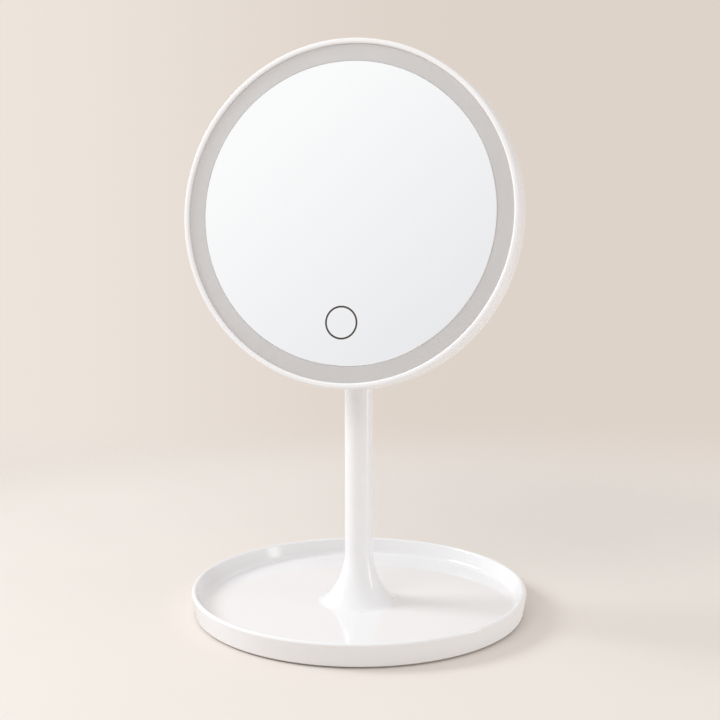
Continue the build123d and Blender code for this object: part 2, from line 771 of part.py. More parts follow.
# LEDs
with BuildPart() as leds:
    with BuildSketch(head.offset(led_board_front)):
        with PolarLocations(led_circle, led_count):
            Rectangle(led_width, led_length)
    extrude(amount=-led_height)
save(leds.part, "leds")

# Touch board behind the touch mark
touch_board_back = mirror_thickness + touch_board_thickness
with BuildPart() as touch_board:
    with BuildSketch(head_at(0, touch_drop, mirror_thickness)):
        Circle(touch_board_diameter / 2)
    extrude(amount=touch_board_thickness)
save(touch_board.part, "touch_board")

# Main board on the shell's standoffs
with BuildPart() as main_board:
    with BuildSketch(head_at(0, board_drop, board_front)):
        RectangleRounded(board_width, board_height, board_corner_radius)
        with GridLocations(board_screw_span, board_screw_rise, 2, 2):
            Circle(board_screw_diameter / 2 + slip, mode=Mode.SUBTRACT)
    extrude(amount=board_thickness)
save(main_board.part, "main_board")

# Screws that hold the main board
board_screw = screw_blank(
    board_screw_diameter, board_screw_length, board_screw_head_diameter, board_screw_head_height
)
with BuildPart(head_at(0, board_drop, board_front - board_screw_head_height)) as board_screws:
    with GridLocations(board_screw_span, board_screw_rise, 2, 2):
        add(board_screw)
save(board_screws.part, "board_screws")

# Chips and coil on the front of the main board
chips = zip(chip_across_shares, chip_down_shares, chip_width_shares, chip_length_shares, chip_height_shares)
with BuildPart() as board_components:
    for across, down, width, length, height in chips:
        with BuildSketch(head_at(across * board_width, board_drop + down * board_height, board_front)):
            Rectangle(width * board_width, length * board_height)
        extrude(amount=-height * connector_height)
save(board_components.part, "board_components")

# Connectors: battery at the top edge, LEDs at the right edge, touch board at the lower edge
board_side = board_width / 2
battery_connector = battery_connector_share * board_width
with BuildPart() as board_connectors:
    with BuildSketch(head.offset(board_back)):
        with Locations((battery_connector, board_top + connector_length / 2)):
            Rectangle(connector_width, connector_length)
        with Locations((board_side - connector_length / 2, board_drop)):
            Rectangle(connector_length, connector_width)
    extrude(amount=connector_height)
    with BuildSketch(head.offset(board_front)):
        with Locations((0, board_bottom - connector_length / 2)):
            Rectangle(connector_width, connector_length)
    extrude(amount=-connector_height)
save(board_connectors.part, "board_connectors")

# Shell of the USB-C socket
with BuildPart() as usb_shell:
    with BuildSketch(head_at(0, usb_drop, board_back)):
        SlotOverall(usb_width, usb_height)
    extrude(amount=usb_length)
    with BuildSketch(head_at(0, usb_drop, board_back + usb_base)):
        SlotOverall(usb_width - 2 * usb_wall, usb_height - 2 * usb_wall)
    extrude(amount=usb_length - usb_base, mode=Mode.SUBTRACT)
save(usb_shell.part, "usb_shell")

# Contact tongue of the USB-C socket
with BuildPart() as usb_tongue:
    with BuildSketch(head_at(0, usb_drop, board_back + usb_base)):
        Rectangle(usb_width - 2 * usb_wall - 2 * usb_tongue_room, usb_tongue_thickness)
    extrude(amount=usb_length - usb_base - usb_tongue_set_back)
save(usb_tongue.part, "usb_tongue")

# Light pipe of the charge light
with BuildPart() as light_pipe:
    with BuildSketch(head_at(light_pipe_shift, usb_drop, board_back)):
        Circle(light_pipe_radius)
    extrude(amount=back - board_back)
    with BuildSketch(head_at(light_pipe_shift, usb_drop, back_inside)):
        Circle(light_pipe_radius + light_pipe_flange)
    extrude(amount=-light_pipe_flange)
save(light_pipe.part, "light_pipe")

# Battery, a flat pouch cell
with BuildPart() as battery:
    with BuildSketch(head_at(0, battery_drop, battery_front)):
        Rectangle(battery_width, battery_length)
    extrude(amount=battery_thickness)
    fillet(battery.edges().filter_by(Axis.X), battery_edge_radius)
save(battery.part, "battery")

# Tape behind the battery
with BuildPart() as battery_tape:
    with BuildSketch(head_at(0, battery_drop, battery_back)):
        Rectangle(battery_width - 2 * battery_tape_edge, battery_length - 2 * battery_tape_edge)
    extrude(amount=battery_tape_thickness)
save(battery_tape.part, "battery_tape")

# Leads from the battery to its connector
with BuildPart() as battery_leads:
    with BuildSketch(Plane(head.from_local_coords((0, battery_foot, 0)), x_dir=head.x_dir, z_dir=head.y_dir)):
        for side in (-1, 1):
            with Locations((battery_connector + side * lead_spacing / 2, -rear_lead_depth)):
                Circle(lead_radius)
    extrude(amount=board_top - battery_foot)
save(battery_leads.part, "battery_leads")

# Leads from the main board to the LED board
with BuildPart() as led_leads:
    for side in (-1, 1):
        down = board_drop + side * lead_spacing / 2
        corners = [
            (board_side, down, rear_lead_depth), (led_lead_end, down, rear_lead_depth),
            (led_lead_end, down, flange_front),
        ]
        with BuildLine() as led_route:
            FilletPolyline(*[head.from_local_coords(corner) for corner in corners], radius=lead_bend)
        with BuildSketch(led_route.line ^ 0):
            Circle(lead_radius)
        sweep(path=led_route.line)
save(led_leads.part, "led_leads")

# Leads from the touch board to the main board
touch_lead_down = touch_drop - touch_lead_rise
with BuildPart() as touch_leads:
    for side in (-1, 0, 1):
        across = side * lead_spacing
        corners = [
            (across, touch_lead_down, touch_board_back), (across, touch_lead_down, front_lead_depth),
            (across, board_bottom, front_lead_depth),
        ]
        with BuildLine() as touch_route:
            FilletPolyline(*[head.from_local_coords(corner) for corner in corners], radius=lead_bend)
        with BuildSketch(touch_route.line ^ 0):
            Circle(lead_radius)
        sweep(path=touch_route.line)
save(touch_leads.part, "touch_leads")
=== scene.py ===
"""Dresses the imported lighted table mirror.

Turned white mouldings, silvered glass, an opal light ring and fittings stand on the frame of its solids.
"""

import json
import math

import bmesh
import bpy
from mathutils import Euler, Matrix, Vector
from mathutils.geometry import interpolate_bezier


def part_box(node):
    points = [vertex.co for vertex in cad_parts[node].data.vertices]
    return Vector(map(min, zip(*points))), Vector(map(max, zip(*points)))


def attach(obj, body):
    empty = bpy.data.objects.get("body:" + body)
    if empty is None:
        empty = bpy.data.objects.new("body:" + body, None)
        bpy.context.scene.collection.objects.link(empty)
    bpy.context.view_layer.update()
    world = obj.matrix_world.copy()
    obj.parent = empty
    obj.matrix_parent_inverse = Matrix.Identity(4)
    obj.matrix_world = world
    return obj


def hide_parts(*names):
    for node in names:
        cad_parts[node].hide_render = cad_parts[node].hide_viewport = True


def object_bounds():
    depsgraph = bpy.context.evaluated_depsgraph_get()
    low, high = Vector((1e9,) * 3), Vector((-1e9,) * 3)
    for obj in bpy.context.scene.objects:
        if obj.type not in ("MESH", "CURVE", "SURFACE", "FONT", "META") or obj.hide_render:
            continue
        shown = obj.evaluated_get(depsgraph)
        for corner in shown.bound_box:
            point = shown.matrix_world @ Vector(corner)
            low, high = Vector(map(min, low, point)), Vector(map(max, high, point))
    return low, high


bl_info = {
    "name": "Lighted table mirror",
    "version": (1, 0, 0),
    "blender": (4, 5, 0),
    "location": "3D View > Sidebar > Table mirror",
    "description": "Builds the mouldings, glass and finishes of a lighted table mirror on its frame",
    "category": "Object",
}

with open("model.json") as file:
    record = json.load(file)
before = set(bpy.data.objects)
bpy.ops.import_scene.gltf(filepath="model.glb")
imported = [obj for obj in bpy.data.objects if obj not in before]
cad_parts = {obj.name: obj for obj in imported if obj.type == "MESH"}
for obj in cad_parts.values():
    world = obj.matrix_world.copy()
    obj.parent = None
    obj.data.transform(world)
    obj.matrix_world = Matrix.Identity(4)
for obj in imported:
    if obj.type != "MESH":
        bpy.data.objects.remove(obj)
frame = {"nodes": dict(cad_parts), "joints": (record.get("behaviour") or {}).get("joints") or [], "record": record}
CAD_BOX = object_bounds()
NODES = frame["nodes"]
SLOT_COLOURS = {slot["slot"]: slot["base_color"] for slot in frame["record"]["materials"]}
PIVOT = Vector(frame["joints"][0]["pos_m"])
MOUNTS = {mount["name"]: mount for mount in frame["record"]["mounts"]}

SHARP = math.radians(35)  # edges steeper than this stay crisp
FLAT = math.radians(0.2)  # neighbouring faces that turn less than this become one
WELD = 1e-6  # metres, distance at which doubled points are merged
NEAR = 1e-4  # metres, a solid's mesh lies no further than this from its true surface
FLARE_POINTS = 32  # points on the outline of the stem's flare
WINDOW_TAPER = 0.9  # proud end of an LED's window, of its radius
SENSOR_WIDTH = 36.0  # millimetres

# Sockets of a Mix node that mixes colours
MIX_FACTOR, MIX_FIRST, MIX_SECOND, MIX_RESULT = 0, 6, 7, 2

# Finish of the mouldings
GLOSS_WANDER = 0.15  # how far the roughness wanders either way, of itself
COAT_ROUGHNESS = 0.04
GRAIN_STRENGTH = 0.25

# Lamps of the studio: place in metres, width and height in metres, tint, whether gloss mirrors it
LAMPS = {
    "key_light": ((-1.60, -0.22, 1.13), (0.70, 0.70), (0.94, 0.97, 1.0), True),
    "front_light": ((-0.15, -0.45, 0.62), (0.35, 0.35), (1.0, 1.0, 1.0), False),
    "side_light": ((1.25, -0.25, 0.20), (0.90, 0.50), (1.0, 0.99, 1.0), False),
    "strip_light": ((0.50, 0.0, 0.12), (0.16, 0.56), (1.0, 1.0, 1.0), True),
}

# Floor
FLOOR_RADIUS = 2.0  # metres
FLOOR_SEGMENTS = 96
FLOOR_FADE = (0.30, 0.52)  # metres from the stem, between which the floor fades from view

# Surroundings: directions from the object, and how far along them each change starts and ends
EVEN_TINT = (1.0, 0.986, 0.98, 1.0)  # colour of the even light
HORIZON = (-0.26, -0.20)  # upwards, from the floor's tone to the backdrop
LIT_SIDE = (-0.08, 0.26)  # towards the key light, from the plain backdrop to its lit side
GLOW_WAY = Vector((-0.65, 0.386, 0.652)).normalized()
GLOW_EDGE = (-0.16, 0.08)  # along GLOW_WAY, from haze to glow
FRONT_WAY = Vector((-0.8, -0.6, 0.0))
FRONT_EDGE = (0.05, 0.45)  # along FRONT_WAY, from the backdrop to what the glass shows
ABOVE_EDGE = (-0.12, 0.05)  # upwards, likewise
OVERHEAD_EDGE = (0.42, 0.70)  # upwards, to the glow overhead


def half_width(node):
    """Half of a node's width, which is the radius of a round one."""
    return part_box(node)[1].x


def middle(node):
    """Centre of a node's box."""
    low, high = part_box(node)
    return (low + high) / 2


def head_frame():
    """Matrix of the head, from the middle of the light ring's front face.

    X goes to the right, Y down the mirror and Z into the depth.
    """
    depth_way = Vector(MOUNTS["usb_c_socket"]["axis"]).normalized()
    right = Vector((1, 0, 0))
    down = depth_way.cross(right)
    low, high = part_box("diffuser_ring")
    size = high - low
    thickness = (size.y + size.x * depth_way.z) / depth_way.y
    origin = (low + high) / 2 - depth_way * thickness / 2
    return Matrix.Translation(origin) @ Matrix((right, down, depth_way)).transposed().to_4x4()


HEAD = head_frame()


# Settings

def length(name, description, default):
    """A size in metres."""
    return bpy.props.FloatProperty(
        name=name, description=description, default=default, min=0.0, precision=5, unit="LENGTH"
    )


def share(name, description, default):
    """A share between nothing and all."""
    return bpy.props.FloatProperty(
        name=name, description=description, default=default, min=0.0, max=1.0, subtype="FACTOR"
    )


def angle(name, description, degrees):
    """An angle, given in degrees."""
    return bpy.props.FloatProperty(
        name=name, description=description, default=math.radians(degrees), subtype="ANGLE"
    )


def colour(name, description, default):
    """A colour in linear light."""
    return bpy.props.FloatVectorProperty(
        name=name, description=description, default=default, min=0.0, max=1.0, size=3, subtype="COLOR"
    )


def count(name, description, default):
    """A whole number of copies or steps."""
    return bpy.props.IntProperty(name=name, description=description, default=default, min=2)


def watts(name, description, default):
    """Strength of a lamp."""
    return bpy.props.FloatProperty(
        name=name, description=description, default=default, min=0.0, unit="POWER"
    )


class TraySizes(bpy.types.PropertyGroup):
    """Sizes of the tray and its flare"""

    wall_draft: length("Wall draft", "How far the outer wall leans in below the rim", 0.0020)
    rim_height: length("Rim height", "Crest of the rim above the table", 0.0149)
    rim_thickness: length("Rim thickness", "Width of the rounded rim", 0.0032)
    floor_height: length("Floor height", "Tray floor above the table", 0.0054)
    floor_thickness: length("Floor thickness", "Wall of the tray floor", 0.0019)
    floor_corner: length("Floor corner", "Radius between inner wall and floor", 0.0040)
    inner_lean: length("Inner lean", "How far the inner wall leans in towards the floor", 0.0030)
    bottom_edge: length("Bottom edge", "Radius of the lower outer edge", 0.0012)
    skirt_thickness: length("Skirt thickness", "Width of the lower rim", 0.0026)
    cavity_rise: length("Cavity rise", "Hollow behind the wall, above the floor's underside", 0.0018)
    cavity_width: length("Cavity width", "Width of the hollow behind the wall", 0.0070)
    flare_foot: length("Flare foot", "Radius where the flare runs out on the floor", 0.0255)
    floor_pull: share("Floor pull", "How far the flare hugs the floor, of its width", 0.42)
    stem_pull: share("Stem pull", "How far the flare hugs the stem, of its height", 0.54)
    web_top: length("Web top", "Seat of the core tube above the table", 0.0110)
    web_bottom: length("Web bottom", "Underside of that seat", 0.0076)
    bolt_hole: length("Bolt hole", "Radius of the hole for the stem bolt", 0.00305)
    bolt_pocket: length("Bolt pocket", "Radius of the pocket for the bolt's head", 0.0105)


class StandSizes(bpy.types.PropertyGroup):
    """Sizes of the stem and the foot ring"""

    foot_width: length("Foot width", "Width of the foot ring", 0.0120)
    foot_edge: length("Foot edge", "Radius of the foot ring's edges", 0.0005)
    sleeve_slip: length("Sleeve slip", "Room between sleeve and core tube", 0.00005)


class HeadSizes(bpy.types.PropertyGroup):
    """Sizes of the head's front ring and of its lights"""

    lip_width: length("Lip width", "Width of the bezel's bead", 0.0039)
    bead_rise: length("Bead rise", "Crest of the bead above the light ring", 0.0016)
    bead_inner_round: length("Inner round", "Radius of the bead towards the light ring", 0.00135)
    bead_outer_round: length("Outer round", "Radius of the bead towards the side wall", 0.0008)
    bezel_taper: length("Bezel taper", "How far the outer wall leans in from the seam to the crest", 0.0010)
    bezel_wall: length("Bezel wall", "Wall of the bezel's skirt", 0.0015)
    bezel_depth: length("Bezel depth", "Crest of the bead to the seam", 0.0055)
    rear_edge: length("Rear edge", "Radius of the casing's rear edge", 0.0080)
    seam_edge: length("Seam edge", "Radius of the edges at the seam", 0.00022)
    light_ring_thickness: length("Light ring thickness", "Wall of the light ring", 0.0020)
    light_ring_edge: length("Light ring edge", "Radius of its inner edge", 0.00015)
    glass_fit: length("Glass fit", "Joint between light ring and glass", 0.00005)
    led_count: count("LED count", "Number of LEDs on the ring", 48)
    led_width: length("LED width", "Width of an LED, across the ring", 0.0028)
    led_length: length("LED length", "Length of an LED, along the ring", 0.0035)
    led_height: length("LED height", "Height of an LED", 0.0008)
    led_edge: length("LED edge", "Bevel of an LED's body", 0.00012)
    led_lens: length("LED lens", "Radius of an LED's window", 0.00105)


class HingeSizes(bpy.types.PropertyGroup):
    """Sizes of the hinge's caps and castings"""

    ear_outside: length("Ear outside", "Outer face of an ear beside the middle", 0.0085)
    cap_radius: length("Cap radius", "Radius of a hinge cap", 0.0075)
    cap_wall: length("Cap wall", "Wall of a hinge cap", 0.0012)
    cap_top: length("Cap top", "Thickness of a cap's end", 0.0016)
    cap_edge: length("Cap edge", "Radius of a cap's outer edge", 0.0014)
    casting_edge: length("Casting edge", "Bevel of the castings' edges", 0.00035)


class FinishColours(bpy.types.PropertyGroup):
    """Colours of the finishes that show"""

    white: colour("White", "Glossy white mouldings", (0.873, 0.868, 0.874))
    paint: colour("Paint", "Painted hinge castings", SLOT_COLOURS["white_paint"])
    opal: colour("Opal", "Light ring with its light off", (0.62, 0.607, 0.604))
    silver: colour("Silver", "Silvered glass", (0.96, 0.965, 0.97))
    mark: colour("Mark", "Printed touch mark", SLOT_COLOURS["dark_print"])
    rubber: colour("Rubber", "Foot ring", SLOT_COLOURS["rubber_foot"])


class StageSettings(bpy.types.PropertyGroup):
    """Camera, light and floor"""

    camera_distance: length("Camera distance", "From the stem, along the table", 0.8449)
    camera_height: length("Camera height", "Above the table", 0.2953)
    camera_azimuth: angle("Camera azimuth", "Round the stem, from the front to the right", 17.16)
    camera_pitch: angle("Camera pitch", "Downward look of the camera", 9.55)
    lens: bpy.props.FloatProperty(
        name="Lens", description="Focal length on a 36 mm sensor", default=72.46, unit="CAMERA"
    )
    stem_shift: bpy.props.FloatProperty(
        name="Stem shift", description="Stem left of the picture's middle, of its width", default=0.0014
    )
    key_power: watts("Key light", "Soft light from the left", 20.0)
    front_power: watts("Front light", "Soft light above the camera", 0.95)
    side_power: watts("Side light", "Broad dim light from the right", 1.4)
    strip_power: watts("Strip light", "Narrow light from the right, soft at its edges", 0.92)
    strip_fade: share("Strip fade", "Soft edge of the strip light, of its width and height", 0.45)
    ambient: share("Ambient", "Strength of the even light from all round", 0.665)
    floor: colour("Floor", "Pale floor", (0.80, 0.742, 0.69))
    wall: colour("Wall", "Plain tone behind the floor", (0.73, 0.65, 0.585))
    lit_wall: colour("Lit wall", "The same tone towards the key light", (0.85, 0.78, 0.72))
    glow: colour("Glow", "Bright side of what the glass shows", (1.0, 1.0, 1.0))
    haze: colour("Haze", "Dull side of what the glass shows", (0.80, 0.80, 0.82))


class MirrorSettings(bpy.types.PropertyGroup):
    """All settings of the table mirror"""

    tray: bpy.props.PointerProperty(type=TraySizes)
    stand: bpy.props.PointerProperty(type=StandSizes)
    head: bpy.props.PointerProperty(type=HeadSizes)
    hinge: bpy.props.PointerProperty(type=HingeSizes)
    finish: bpy.props.PointerProperty(type=FinishColours)
    stage: bpy.props.PointerProperty(type=StageSettings)


def settings():
    """The settings of the open scene."""
    return bpy.context.scene.table_mirror


# Node helpers

def feed(tree, node, inputs):
    """Fills a node's inputs, by name or number, with values or links."""
    for name, value in inputs.items():
        if isinstance(value, bpy.types.NodeSocket):
            tree.links.new(value, node.inputs[name])
        else:
            node.inputs[name].default_value = value


def make(tree, kind, inputs=None, **options):
    """Adds a node, sets its options and fills its inputs with values or links."""
    node = tree.nodes.new(kind)
    for name, value in options.items():
        setattr(node, name, value)
    feed(tree, node, inputs or {})
    return node


def math_node(tree, operation, first, second=0.0):
    """Result of an operation on one or two values or links."""
    return make(tree, "ShaderNodeMath", {0: first, 1: second}, operation=operation).outputs[0]


def ramp(tree, value, start, end):
    """Smooth step from nothing to all between two values."""
    return make(
        tree, "ShaderNodeMapRange", {"Value": value, "From Min": start, "From Max": end},
        interpolation_type="SMOOTHSTEP",
    ).outputs[0]


def along(tree, way, axis):
    """How far a direction goes along an axis."""
    return make(
        tree, "ShaderNodeVectorMath", {0: way, 1: axis}, operation="DOT_PRODUCT"
    ).outputs["Value"]


def reach_of(tree, place):
    """Distance of a place from the origin."""
    return make(tree, "ShaderNodeVectorMath", {0: place}, operation="LENGTH").outputs["Value"]


def new_tree(name, sockets):
    """Geometry node tree with named inputs, its input node and its output node."""
    tree = bpy.data.node_groups.new(name, "GeometryNodeTree")
    for label, kind in sockets:
        tree.interface.new_socket(label, in_out="INPUT", socket_type=f"NodeSocket{kind}")
    tree.interface.new_socket("Geometry", in_out="OUTPUT", socket_type="NodeSocketGeometry")
    return tree, tree.nodes.new("NodeGroupInput").outputs, tree.nodes.new("NodeGroupOutput")


def close_tree(tree, result, material, output):
    """Ends a tree: instances become mesh, and the mesh gets its material."""
    realized = make(tree, "GeometryNodeRealizeInstances", {"Geometry": result})
    painted = make(
        tree, "GeometryNodeSetMaterial", {"Geometry": realized.outputs[0], "Material": material}
    )
    tree.links.new(painted.outputs[0], output.inputs[0])


def turned_tree():
    """Rounds the corners of a closed outline in the XZ plane and turns it about Z."""
    tree, given, output = new_tree(
        "Turned piece",
        [("Outline", "Geometry"), ("Segments", "Int"), ("Corner Steps", "Int"), ("Material", "Material")],
    )
    line = make(tree, "GeometryNodeMeshToCurve", {"Mesh": given["Outline"]})
    corner = make(tree, "GeometryNodeInputNamedAttribute", {"Name": "corner"}, data_type="FLOAT")
    rounded = make(
        tree, "GeometryNodeFilletCurve",
        {"Curve": line.outputs[0], "Count": given["Corner Steps"], "Radius": corner.outputs[0]},
        mode="POLY",
    )
    points = make(
        tree, "GeometryNodeAttributeDomainSize", {0: rounded.outputs[0]}, component="CURVE"
    ).outputs["Point Count"]
    columns = math_node(tree, "ADD", points, 1)
    rows = math_node(tree, "ADD", given["Segments"], 1)
    grid = make(tree, "GeometryNodeMeshGrid", {"Vertices X": columns, "Vertices Y": rows})
    index = make(tree, "GeometryNodeInputIndex").outputs[0]
    column = math_node(tree, "FLOOR", math_node(tree, "DIVIDE", math_node(tree, "ADD", index, 0.5), rows))
    row = math_node(tree, "SUBTRACT", index, math_node(tree, "MULTIPLY", column, rows))
    turn = math_node(tree, "MULTIPLY", math_node(tree, "DIVIDE", row, given["Segments"]), math.tau)
    place = make(
        tree, "GeometryNodeSampleIndex",
        {
            "Geometry": rounded.outputs[0],
            "Value": make(tree, "GeometryNodeInputPosition").outputs[0],
            "Index": math_node(tree, "MODULO", column, points),
        },
        data_type="FLOAT_VECTOR", domain="POINT",
    )
    parts = make(tree, "ShaderNodeSeparateXYZ", {0: place.outputs[0]})
    position = make(
        tree, "ShaderNodeCombineXYZ",
        {
            "X": math_node(tree, "MULTIPLY", parts.outputs["X"], math_node(tree, "COSINE", turn)),
            "Y": math_node(tree, "MULTIPLY", parts.outputs["X"], math_node(tree, "SINE", turn)),
            "Z": parts.outputs["Z"],
        },
    )
    swept = make(
        tree, "GeometryNodeSetPosition", {"Geometry": grid.outputs[0], "Position": position.outputs[0]}
    )
    welded = make(
        tree, "GeometryNodeMergeByDistance", {"Geometry": swept.outputs[0], "Distance": WELD}
    )
    smooth = make(
        tree, "GeometryNodeSetShadeSmooth", {"Geometry": welded.outputs[0], "Shade Smooth": True},
        domain="FACE",
    )
    close_tree(tree, smooth.outputs[0], given["Material"], output)
    return tree


def ring_tree():
    """Sets copies of a piece round a circle about Z, each turned to face outwards."""
    tree, given, output = new_tree(
        "Ring of copies",
        [("Copy", "Geometry"), ("Count", "Int"), ("Radius", "Float"), ("Material", "Material")],
    )
    circle = make(
        tree, "GeometryNodeMeshCircle", {"Vertices": given["Count"], "Radius": given["Radius"]}
    )
    index = make(tree, "GeometryNodeInputIndex").outputs[0]
    turn = math_node(tree, "MULTIPLY", math_node(tree, "DIVIDE", index, given["Count"]), math.tau)
    facing = make(tree, "ShaderNodeCombineXYZ", {"Z": turn})
    copies = make(
        tree, "GeometryNodeInstanceOnPoints",
        {"Points": circle.outputs[0], "Instance": given["Copy"], "Rotation": facing.outputs[0]},
    )
    close_tree(tree, copies.outputs[0], given["Material"], output)
    return tree


def shared_tree(name, builder):
    """The node tree of that name, built when it is first needed."""
    return bpy.data.node_groups.get(name) or builder()


# Piece helpers

def new_piece(name, mesh):
    """Object with that mesh, linked to the scene."""
    piece = bpy.data.objects.new(name, mesh)
    bpy.context.scene.collection.objects.link(piece)
    return piece


def settle(piece):
    """Makes the result of a piece's modifiers its plain mesh."""
    depsgraph = bpy.context.evaluated_depsgraph_get()
    mesh = bpy.data.meshes.new_from_object(piece.evaluated_get(depsgraph), depsgraph=depsgraph)
    if not mesh.polygons:
        raise RuntimeError(f"{piece.name} came out empty")
    old = piece.data
    piece.modifiers.clear()
    piece.data = mesh
    mesh.name = piece.name
    bpy.data.meshes.remove(old)
    return piece


def grow(piece, tree, values):
    """Runs a node tree on a piece, with its inputs set by name."""
    modifier = piece.modifiers.new(tree.name, "NODES")
    modifier.node_group = tree
    for socket in tree.interface.items_tree:
        if socket.in_out == "INPUT" and socket.name in values:
            modifier[socket.identifier] = values[socket.name]
    settle(piece)
    piece.data.materials.clear()
    piece.data.materials.append(values["Material"])
    return piece


def tidy_faces(piece):
    """Points all faces outwards, marks crisp edges and shades flat faces evenly up to their edges."""
    work = bmesh.new()
    work.from_mesh(piece.data)
    bmesh.ops.remove_doubles(work, verts=work.verts, dist=WELD)
    bmesh.ops.dissolve_degenerate(work, edges=work.edges, dist=WELD)
    bmesh.ops.recalc_face_normals(work, faces=work.faces)
    for face in work.faces:
        face.smooth = True
    for edge in work.edges:
        edge.smooth = edge.calc_face_angle(math.pi) < SHARP
    work.to_mesh(piece.data)
    work.free()
    piece.modifiers.new("Even shading", "WEIGHTED_NORMAL").keep_sharp = True
    return settle(piece)


def fit(piece, body, slot, *nodes):
    """Lets a finished piece ride on its body, in place of its solids."""
    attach(piece, body)
    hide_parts(*nodes)


def turned(name, outline, material, placement=None, segments=256, corner_steps=8):
    """Piece turned from a closed outline of (radius, height, corner radius)."""
    mesh = bpy.data.meshes.new(name)
    last = len(outline) - 1
    edges = [(index, index + 1) for index in range(last)] + [(last, 0)]
    mesh.from_pydata([(radius, 0.0, height) for radius, height, corner in outline], edges, [])
    corners = mesh.attributes.new("corner", "FLOAT", "POINT")
    corners.data.foreach_set("value", [corner for radius, height, corner in outline])
    piece = grow(
        new_piece(name, mesh), shared_tree("Turned piece", turned_tree),
        {"Segments": segments, "Corner Steps": corner_steps, "Material": material},
    )
    tidy_faces(piece)
    if placement is not None:
        piece.data.transform(placement)
    return piece


def smooth_copy(name, node, material, bevel=0.0):
    """Merged copy of a solid's mesh with smooth round faces and, where wanted, softened edges."""
    work = bmesh.new()
    work.from_mesh(NODES[node].data)
    bmesh.ops.remove_doubles(work, verts=work.verts, dist=WELD)
    bmesh.ops.dissolve_limit(work, angle_limit=FLAT, verts=work.verts, edges=work.edges)
    mesh = bpy.data.meshes.new(name)
    work.to_mesh(mesh)
    work.free()
    mesh.materials.clear()
    mesh.materials.append(material)
    piece = new_piece(name, mesh)
    if bevel:
        softened = piece.modifiers.new("Soft edges", "BEVEL")
        softened.width = bevel
        softened.segments = 3
        softened.limit_method = "ANGLE"
        softened.angle_limit = SHARP
        softened.use_clamp_overlap = True
        settle(piece)
    return tidy_faces(piece)


def round_off(piece, radius, edge):
    """Shades the outside of a round casing as a true cylinder, rounded edge and flat back."""
    mesh = piece.data
    to_head = HEAD.inverted()
    turn = HEAD.to_3x3()
    places = [to_head @ vertex.co for vertex in mesh.vertices]
    back = max(place.z for place in places)
    exact = []
    for place in places:
        outwards = Vector((place.x, place.y, 0.0))
        over = max(outwards.length - (radius - edge), 0.0)
        behind = max(place.z - (back - edge), 0.0)
        offset = outwards.normalized() * (over if behind else edge * (over > edge - NEAR))
        offset.z = behind
        if over == 0.0:
            offset.z = edge * (behind > edge - NEAR)
        on_skin = offset.length > edge - NEAR
        exact.append(turn @ offset.normalized() if on_skin else None)
    normals = [corner.vector.copy() for corner in mesh.corner_normals]
    for face in mesh.polygons:
        for corner in face.loop_indices:
            normal = exact[mesh.loops[corner].vertex_index]
            if normal is not None and normal.angle(face.normal) < SHARP:
                normals[corner] = normal
    mesh.normals_split_custom_set(normals)


def dress(material, *nodes):
    """Gives solids that stay as they are their finish."""
    for node in nodes:
        NODES[node].data.materials.clear()
        NODES[node].data.materials.append(material)


def arc(centre_radius, centre_height, radius, start, end, steps=14):
    """Points of an arc of an outline, from one angle to another in degrees."""
    angles = [math.radians(start + (end - start) * step / steps) for step in range(steps + 1)]
    return [
        (centre_radius + radius * math.cos(turn), centre_height + radius * math.sin(turn), 0.0)
        for turn in angles
    ]


# Finishes

def new_material(slot):
    """Node material of a slot with its tree and shader, or the material alone where it is made already."""
    name = f"{slot}_finish"
    material = bpy.data.materials.get(name)
    if material:
        return material, None, None
    material = bpy.data.materials.new(name)
    material.use_nodes = True
    tree = material.node_tree
    return material, tree, tree.nodes["Principled BSDF"]


def place_of(tree, stretch=(1.0, 1.0, 1.0)):
    """Coordinates on the piece, in metres, stretched for brushed patterns."""
    raw = make(tree, "ShaderNodeTexCoord").outputs["Object"]
    return make(tree, "ShaderNodeMapping", {"Vector": raw, "Scale": stretch}).outputs[0]


def noise_of(tree, place, scale, detail=2.0, rough=0.5):
    """Noise of so many features per metre."""
    return make(
        tree, "ShaderNodeTexNoise",
        {"Vector": place, "Scale": scale, "Detail": detail, "Roughness": rough},
    ).outputs["Fac"]


def spread(tree, factor, low, high, start=0.3, end=0.7):
    """Moves a noise into a range of values."""
    return make(
        tree, "ShaderNodeMapRange",
        {"Value": factor, "From Min": start, "From Max": end, "To Min": low, "To Max": high},
    ).outputs[0]


def blend_colours(tree, factor, first, second):
    """Mix of two colours or links."""
    mixed = make(
        tree, "ShaderNodeMix", {MIX_FACTOR: factor, MIX_FIRST: first, MIX_SECOND: second}, data_type="RGBA"
    )
    return mixed.outputs[MIX_RESULT]


def mottled(tree, noise, first, second):
    """Colour that wanders between two tones with a noise."""
    return blend_colours(tree, spread(tree, noise, 0.0, 1.0), first, second)


def tone(base, factor=1.0, warmth=0.0):
    """A colour made lighter or darker, and warmer, with full alpha."""
    red, green, blue = (min(1.0, part * factor) for part in base)
    return (min(1.0, red * (1 + warmth)), green, blue * (1 - warmth), 1.0)


def bump(tree, shader, height, strength, distance):
    """Fine relief on a shader."""
    relief = make(
        tree, "ShaderNodeBump", {"Height": height, "Strength": strength, "Distance": distance}
    )
    tree.links.new(relief.outputs[0], shader.inputs["Normal"])


